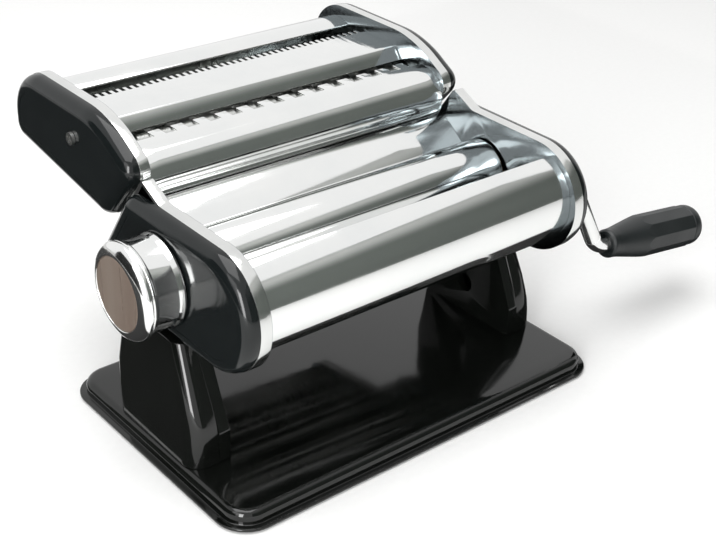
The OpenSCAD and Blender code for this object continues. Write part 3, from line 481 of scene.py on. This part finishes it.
def domed_cover(name, corners, side, x_rim, x_face):
    """Moulded cover: a deep round edge, a crease line round the flat face, hollow behind."""
    height = x_face - x_rim
    wall = 1.8 * MM
    side_wall = 3.4 * MM
    rim_gap = 0.2 * MM
    round_share = 0.97
    crease_in, crease_depth = 0.5 * MM, 0.12 * MM
    piece = drawn_face(name, corners, lambda y, z: Vector((side * x_rim, y * MM, z * MM)))
    bpy.ops.mesh.inset(thickness=rim_gap, depth=0)
    bpy.ops.mesh.select_all(action="INVERT")
    bpy.ops.mesh.delete(type="FACE")
    bpy.ops.mesh.select_all(action="SELECT")
    push(x=side * height)
    pick_level(piece, "EDGE", 0, side * x_face)
    bpy.ops.mesh.bevel(offset=height * round_share, segments=12, profile=0.52, affect="EDGES")
    pick_level(piece, "FACE", 0, side * x_face)
    bpy.ops.mesh.inset(thickness=crease_in, depth=0)
    push(x=-side * crease_depth)
    pick_level(piece, "FACE", 0, side * x_rim)
    bpy.ops.mesh.inset(thickness=side_wall, depth=0)
    push(x=side * (height - wall))
    return piece


def leg_cover(name, node, side):
    """Bulging leg cover: level slices drawn up from the foot to the top, hollow behind."""
    wall = 1.8 * MM
    hollow = 5 * MM
    front_round, rear_round = 8, 4
    low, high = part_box(node)
    back = min(abs(low.x), abs(high.x))
    foot, top = low.z, high.z
    # Height, then front, rear and depth in millimetres
    slices = [
        (foot, -27, 26.5, 12.6),
        (foot + 8 * MM, -27, 28.5, 11.9),
        (foot + 13.5 * MM, -26.5, 29.9, 11.4),
        (foot + 18 * MM, -25.2, 30.3, 11),
        (foot + 24 * MM, -22.8, 30.4, 10.7),
        (top, -11.5, 27.5, 8),
    ]
    y0, y1, out = slices[0][1:]
    corners = [(0, y0, 0), (out, y0, front_round), (out, y1, rear_round), (0, y1, 0)]
    piece = drawn_face(name, corners, lambda x, y: Vector((side * (back + x * MM), y * MM, foot)), 4)
    for before, after in zip(slices, slices[1:]):
        push(z=after[0] - before[0])
        centre = (side * back, (before[1] + before[2]) / 2 * MM, after[0])
        size = (after[3] / before[3], (after[2] - after[1]) / (before[2] - before[1]), 1)
        bpy.ops.transform.resize(value=size, center_override=centre)
        shift = ((after[1] + after[2]) - (before[1] + before[2])) / 2
        bpy.ops.transform.translate(value=(0, shift * MM, 0))
    pick_level(piece, "FACE", 0, side * back)
    bpy.ops.mesh.inset(thickness=wall, depth=0)
    push(x=side * hollow)
    return piece


for side, word in ((-1, "left"), (1, "right")):
    plate = dish_plate(f"{word}_rim_plate", body_outline, side, plate_x, rim_x)
    hole(plate, (side * plate_x, front_axis.y, front_axis.z), roller_bore)
    hole(plate, (side * plate_x, rear_axis.y - block_shift, rear_axis.z), block_bore)
    finish(plate, rim_chrome, [f"{word}_end_plate"], edge=rim_edge)
    cover = domed_cover(f"{word}_dome", cover_outline, side, rim_x, cover_x)
    axis, bore = (front_axis, crank_bore) if side > 0 else (rear_axis, spindle_bore)
    hole(cover, (side * cover_x, axis.y, axis.z), bore)
    finish(cover, cover_gloss, [f"{word}_cover"])
    plate = dish_plate(f"cutter_{word}_rim_plate", cutter_outline, side, cut_plate_x, cut_rim_x)
    for name in ("wide_front_turn", "wide_rear_turn", "fine_front_turn", "fine_rear_turn"):
        axis = joint_at(name)
        bore = socket_bore if side > 0 and "front" in name else journal_bore
        hole(plate, (side * cut_plate_x, axis.y, axis.z), bore)
    finish(plate, cutter_rim_chrome, [f"cutter_{word}_plate"], edge=rim_edge)
    cover = domed_cover(f"cutter_{word}_dome", cutter_outline, side, cut_rim_x, cut_cover_x)
    if side > 0:
        for name in ("wide_front_turn", "fine_front_turn"):
            axis = joint_at(name)
            hole(cover, (side * cut_cover_x, axis.y, axis.z), crank_bore)
    finish(cover, cover_gloss, [f"cutter_{word}_cover"])
    leg = leg_cover(f"{word}_leg_shell", f"{word}_leg_cover", side)
    finish(leg, enamel, [f"{word}_leg_cover"], edge=0.5 * MM)


# Base tray

def base_tray():
    """Pressed tray: a flat lip, a round shoulder, a flat top, hollow underneath."""
    lip_h = 1.2 * MM
    lip_w = 2.8 * MM
    shoulder = 3 * MM
    corner_round = 14
    half_x, half_y = base_high.x / MM, base_high.y / MM
    corners = [(x * half_x, y * half_y, corner_round) for x, y in ((-1, -1), (1, -1), (1, 1), (-1, 1))]
    piece = drawn_face("base_tray", corners, lambda x, y: Vector((x * MM, y * MM, base_low.z)), 3)
    push(z=lip_h)
    bpy.ops.mesh.inset(thickness=lip_w, depth=0)
    push(z=base_high.z - base_low.z - lip_h)
    pick_level(piece, "EDGE", 2, base_high.z)
    bpy.ops.mesh.bevel(offset=shoulder, segments=8, affect="EDGES")
    pick_level(piece, "FACE", 2, base_low.z)
    bpy.ops.mesh.inset(thickness=lip_w + lip_h, depth=0)
    push(z=base_high.z - base_low.z - lip_h)
    return piece


finish(base_tray(), enamel, ["base_plate"], edge=0.35 * MM, edge_angle=60)


# Bent sheet

def rolled_sheet(name, half, centre, radius, start, end, steps):
    """A sheet bent round an axis along X, from one angle to another, in degrees."""
    outer, inner = radius, radius - sheet / MM

    def place(x, r):
        a = math.radians(start)
        return Vector((x, (centre[0] + r * math.cos(a)) * MM, (centre[1] + r * math.sin(a)) * MM))

    corners = [(-half, inner, 0), (half, inner, 0), (half, outer, 0), (-half, outer, 0)]
    piece = drawn_face(name, corners, place)
    pivot = (0, centre[0] * MM, centre[1] * MM)
    bpy.ops.mesh.spin(steps=steps, angle=math.radians(start - end), center=pivot, axis=(1, 0, 0))
    return piece


def strips(count, width):
    """Starts and ends of a toothed edge's strips along X, every second one a tooth."""
    first = -count * width
    return [first + i * width for i in range(2 * count + 1)]


def toothed_edge(piece, count, width, edge_y, length):
    """Cuts an edge across and pulls every second strip of it out into a tooth."""
    tidy_faces()
    for x in strips(count, width):
        pick(piece, "FACE", lambda f: True)
        bpy.ops.mesh.bisect(plane_co=(x * MM, 0, 0), plane_no=(1, 0, 0))
    starts = strips(count, width)[1::2]

    def on_tooth(face):
        at = middle(face)
        return (abs(face.normal.y - 1) < 0.01 and abs(at.y - edge_y * MM) < NEAR
                and any(x * MM < at.x < (x + width) * MM for x in starts))

    pick(piece, "FACE", on_tooth)
    push(y=length * MM)


def folded_plate(name, half, points, fold):
    """A strip along X folded over a row of points."""
    first, second = points[0], points[1]
    corners = [(-half, 0, 0), (half, 0, 0), (half, 1, 0), (-half, 1, 0)]

    def place(x, t):
        y = first[0] + (second[0] - first[0]) * t
        z = first[1] + (second[1] - first[1]) * t
        return Vector((x, y * MM, z * MM))

    def pick_line(point):
        spot = Vector((0, point[0] * MM, point[1] * MM))
        pick(piece, "EDGE",
             lambda e: all((Vector((0, v.co.y, v.co.z)) - spot).length < SAME for v in e.verts))

    piece = drawn_face(name, corners, place)
    for a, b in zip(points[1:], points[2:]):
        pick_line(a)
        step = (0, (b[0] - a[0]) * MM, (b[1] - a[1]) * MM)
        bpy.ops.mesh.extrude_edges_move(TRANSFORM_OT_translate={"value": step})
    for point in points[1:-1]:
        pick_line(point)
        bpy.ops.mesh.bevel(offset=fold, segments=5, affect="EDGES")
    tidy_faces()
    bpy.ops.object.mode_set(mode="OBJECT")
    apply_modifier(piece, "SOLIDIFY", thickness=sheet, offset=-1)
    bpy.ops.object.mode_set(mode="EDIT")
    return piece


guard_at = (front_axis.y / MM + 1.5, front_axis.z / MM + 1.2)
guard = rolled_sheet("bent_front_guard", plate_x, guard_at, radius=20.5, start=109, end=240, steps=72)
finish(guard, chrome, ["front_guard"], edge=0.3 * MM)

# The cutter's front guard goes on below in a flat skirt, and above in a toothed lip
wide_count, wide_width, wide_tooth = 13, 5.2, 5.3
cut_front_at = (36.2, 103.2)
lip_y = 39.2
skirt, skirt_turn = 11 * MM, math.radians(315)
guard = rolled_sheet("bent_cutter_front_guard", cut_plate_x, cut_front_at,
                     radius=12.5, start=90, end=225, steps=54)
push(y=skirt * math.cos(skirt_turn), z=skirt * math.sin(skirt_turn))
pick(guard, "FACE", lambda f: f.normal.y > 0.99 and abs(middle(f).y - cut_front_at[0] * MM) < NEAR)
push(y=(lip_y - cut_front_at[0]) * MM)
toothed_edge(guard, wide_count, wide_width, lip_y, wide_tooth)
finish(guard, chrome, ["cutter_front_guard"], edge=0.2 * MM)

guard = rolled_sheet("bent_cutter_rear_guard", cut_plate_x, (97.5, 106),
                     radius=15, start=-40, end=120, steps=64)
finish(guard, chrome, ["cutter_rear_guard"], edge=0.3 * MM)

fine_count, fine_width, fine_tooth = 45, 1.6, 3.3
centre_top = 119
centre_points = [(53, centre_top - 5.8), (56.8, centre_top), (78.5, centre_top)]
plate = folded_plate("folded_centre_plate", cut_plate_x, centre_points, 0.9 * MM)
toothed_edge(plate, fine_count, fine_width, centre_points[-1][0], fine_tooth)
finish(plate, chrome, ["cutter_centre_plate"], edge=0.12 * MM)


# Regulator knob

def turned_knob_piece(name, points):
    """A piece that is turned round the rear roller's axis and faces left."""
    piece = lathe(name, points, 128)
    set_in_place(piece, (0, rear_axis.y, rear_axis.z), (0, -math.pi / 2, 0))
    return piece


def knob():
    """Spun knob barrel with a waist, a bead and a broad round rim."""
    back, face = 87.4, 106
    points = [
        (15.4, back, 0), (18.2, back, 0.4), (18.5, back + 1, 0.4), (17.9, back + 3, 1),
        (18, face - 6.8, 0.6), (18.7, face - 6.2, 0.5), (18.9, face - 5, 0.3), (18.4, face - 4.6, 0.2),
        (19.2, face - 4.2, 0.3), (19.2, face - 3.1, 1.4), (17.7, face - 1.1, 3.6), (14.6, face, 0.4),
        (14.4, face - 0.5, 0.1), (14.4, disc_seat, 0), (15.1, disc_seat, 0), (15.1, 94, 0),
        (4.05, 94, 0), (4.05, 87.8, 0), (6.4, 87.8, 0), (6.4, 92.4, 0), (15.4, 92.4, 0),
    ]
    return turned_knob_piece("spun_knob_barrel", points)


def knob_face():
    """Slightly dished disc that closes the knob."""
    points = [(0, disc_seat, 0), (14.3, disc_seat, 0), (14.3, 105.6, 0.3), (13.7, 105.7, 0.3), (0, 105.3, 0)]
    return turned_knob_piece("dished_knob_disc", points)


finish(knob(), chrome, ["knob_barrel"])
finish(knob_face(), finishes["spun_face"], ["knob_face"])


# Crank grip

def set_on_grip(piece):
    """Puts a turned piece on the grip's axis."""
    tilt = math.atan2(-grip_axis.z, grip_axis.x)
    set_in_place(piece, grip_pivot + grip_axis * grip_start, (0, math.pi / 2 + tilt, 0))
    return piece


def grip():
    """Moulded grip: a ringed neck that swells to a belly with ten long flats."""
    points = [
        (3.2, 0.7, 0), (4.4, 0.7, 0), (4.6, 0.2, 0.1), (5.2, 0.2, 0.1), (5.3, 0, 0), (5.7, 0, 0.2),
        (6.6, 0.9, 0.8), (6.6, 3, 2), (6.9, 6, 4), (9.3, 20, 6), (9.9, 24, 4),
        (9.9, grip_body - 0.4, 0.3), (9.4, grip_body, 0.2), (5, grip_body, 0),
        (5, grip_body - 3.7, 0), (3.2, grip_body - 3.7, 0),
    ]
    piece = lathe("moulded_grip", points, 120, 4)
    flats = 10
    flat_r = 9.45 * MM
    least_flat = 60 * MM * MM
    for i in range(flats):
        a = math.tau * (i + 0.5) / flats
        out = Vector((math.cos(a), math.sin(a), 0))
        bpy.ops.mesh.select_all(action="SELECT")
        bpy.ops.mesh.bisect(plane_co=out * flat_r, plane_no=out, clear_outer=True, use_fill=True,
                            threshold=SAME)
    pick(piece, "FACE", lambda f: f.calc_area() > least_flat and abs(f.normal.z) < 0.01)
    bpy.ops.mesh.region_to_loop()
    bpy.ops.mesh.mark_sharp()
    return set_on_grip(piece)


def grip_end():
    """Rounded end cap of the grip, with a ring line where it meets the body."""
    points = [
        (0, grip_body, 0), (9, grip_body, 0.2), (9.6, grip_body + 0.6, 0.3), (9.6, grip_body + 7, 4),
        (0, grip_body + 7, 0),
    ]
    return set_on_grip(lathe("grip_end_cap", points))


finish(grip(), finishes["grip_plastic"], ["crank_grip"], smooth=20)
finish(grip_end(), finishes["grip_plastic"], ["grip_cap"])


# Copies of solids with softened edges

def softened(node, edge):
    """A copy of a solid whose sharp edges are rounded, as tumbling or plating leaves them."""
    bpy.ops.object.select_all(action="DESELECT")
    source = frame["nodes"][node]
    source.select_set(True)
    bpy.context.view_layer.objects.active = source
    bpy.ops.object.duplicate()
    piece = bpy.context.object
    piece.name = f"soft_{node}"
    piece.data.name = piece.name
    del piece["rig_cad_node"]
    piece.parent = None
    bpy.ops.object.mode_set(mode="EDIT")
    bpy.ops.mesh.select_mode(type="VERT")
    bpy.ops.mesh.select_all(action="SELECT")
    bpy.ops.mesh.remove_doubles(threshold=SAME)
    bpy.ops.mesh.dissolve_limited(angle_limit=math.radians(0.5))
    bpy.ops.object.mode_set(mode="OBJECT")
    apply_modifier(piece, "BEVEL", width=edge, segments=2, limit_method="ANGLE",
                   angle_limit=math.radians(35))
    bpy.ops.object.shade_smooth_by_angle(angle=math.radians(32))
    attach(piece, body_of_node[node])
    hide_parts(node)


for node, edge in (
    ("front_roller", 0.5), ("rear_roller", 0.5), ("hopper_plate", 0.3), ("rear_panel", 0.3),
    ("left_leg_plate", 0.9), ("right_leg_plate", 0.9), ("crank_rod", 0.15),
):
    softened(node, edge * MM)


# Studio

def aimed(location, target, forward):
    """Rotation that turns an axis of an object from its place to a target."""
    return (Vector(target) - Vector(location)).to_track_quat(forward, "Y").to_euler()


def studio_floor():
    """Pale matt floor that stays white to the camera and keeps the shadow."""
    bpy.ops.object.select_all(action="DESELECT")
    bpy.ops.mesh.primitive_plane_add(size=6)
    floor = bpy.context.object
    floor.name = "studio_floor"
    material, tree, place = new_material("pale_paper_floor")
    fibre = noise(tree, place, 3, 3)
    surface(tree, {"Base Color": blend(tree, fibre, "#f6f6f5", "#fbfbfa")}, {"Roughness": 0.9})
    floor.data.materials.append(material)


def studio_world():
    """White surroundings for the camera and for reflections, softer light for the rest."""
    world = bpy.data.worlds.new("studio_white")
    bpy.context.scene.world = world
    world.use_nodes = True
    tree = world.node_tree
    tree.nodes.clear()
    path = add(tree, "ShaderNodeLightPath")
    seen = add(tree, "ShaderNodeMath",
               {0: path.outputs["Is Camera Ray"], 1: path.outputs["Is Glossy Ray"]}, operation="MAXIMUM")
    clear = add(tree, "ShaderNodeMath",
                {0: seen.outputs["Value"], 1: path.outputs["Is Transmission Ray"]}, operation="MAXIMUM")
    soft = add(tree, "ShaderNodeBackground", values={"Color": linear("#ffffff"), "Strength": 0.5})
    white = add(tree, "ShaderNodeBackground", values={"Color": linear("#ffffff"), "Strength": 1.0})
    mixed = add(tree, "ShaderNodeMixShader",
                {0: clear.outputs["Value"], 1: soft.outputs["Background"], 2: white.outputs["Background"]})
    add(tree, "ShaderNodeOutputWorld", {"Surface": mixed.outputs["Shader"]})


def soft_box(name, location, target, size, power):
    """Large soft lamp."""
    data = bpy.data.lights.new(name, "AREA")
    data.shape = "RECTANGLE"
    data.size, data.size_y = size
    data.energy = power
    lamp = bpy.data.objects.new(name, data)
    bpy.context.scene.collection.objects.link(lamp)
    lamp.location = location
    lamp.rotation_euler = aimed(location, target, "-Z")


def card(name, location, target, size, low="#101010", high="#1e1e1e", fade=(0, 1)):
    """Card beside the set, out of the camera's sight, that gives gloss and chrome their dark bands.

    Its tone goes from low to high over the given part of its height, as cloth does in falling light.
    """
    bpy.ops.object.select_all(action="DESELECT")
    bpy.ops.mesh.primitive_plane_add(size=1)
    board = bpy.context.object
    board.name = name
    board.scale = (size[0], size[1], 1)
    board.location = location
    board.rotation_euler = aimed(location, target, "Z")
    material, tree, place = new_material(name)
    weave = add(tree, "ShaderNodeTexNoise", {"Vector": place}, {"Scale": 4, "Detail": 3})
    parts = add(tree, "ShaderNodeSeparateXYZ", {"Vector": place})
    rise = add(tree, "ShaderNodeMapRange", {"Value": parts.outputs["Y"]},
               {"From Min": fade[0] - 0.5, "From Max": fade[1] - 0.5}, interpolation_type="SMOOTHSTEP")
    uneven = add(tree, "ShaderNodeMath", {0: weave.outputs["Fac"], 2: rise.outputs["Result"]},
                 {1: 0.04}, operation="MULTIPLY_ADD")
    surface(tree, {"Base Color": blend(tree, uneven.outputs["Value"], low, high)}, {"Roughness": 0.9})
    board.data.materials.append(material)
    board.visible_camera = False
    board.visible_shadow = False
    board.visible_diffuse = False


studio_floor()
studio_world()
card("left_card", (-0.9, 0.25, 0.35), (0, 0.05, 0.35), (1.1, 0.75))
# Dark sheet on the floor, seen only in reflections: painted shade for the floor beside the machine
card("floor_shade_card", (-0.4135, 0.325, 0.002), (-0.4135, 0.325, 1), (0.633, 0.71))
card("front_card", (0.5, -0.82, 0.655), (0, 0, 0.655), (2.2, 1.29), "#555a56", "#d4d6d3", (0.47, 0.92))
# Dark sheet on the floor under the crank, seen only in reflections: painted shade for the floor beside the
# machine
card("crank_floor_shade_card", (0.274, 0.145, 0.002), (0.274, 0.145, 1), (0.352, 0.41))
soft_box("overhead_soft_box", (-0.1, 0.1, 1.1), (0, 0, 0.06), (1.0, 0.8), 8)
soft_box("left_soft_box", (-0.9, -0.2, 0.6), (0, 0, 0.06), (0.5, 0.7), 2)
soft_box("front_left_soft_box", (-0.94, -0.62, 0.42), (0, 0, 0.08), (0.28, 0.8), 9)

# Lens, place and angles were fitted to the straight edges in the photograph
camera_data = bpy.data.cameras.new("photo_camera")
camera_data.sensor_width = 36
camera_data.lens = 68.6
camera = bpy.data.objects.new("photo_camera", camera_data)
bpy.context.scene.collection.objects.link(camera)
camera.location = (-0.3118, -0.3793, 0.33)
camera.rotation_euler = [math.radians(a) for a in (60.65, -1.77, -39.24)]
bpy.context.scene.camera = camera
bpy.context.scene.view_settings.view_transform = "Standard"
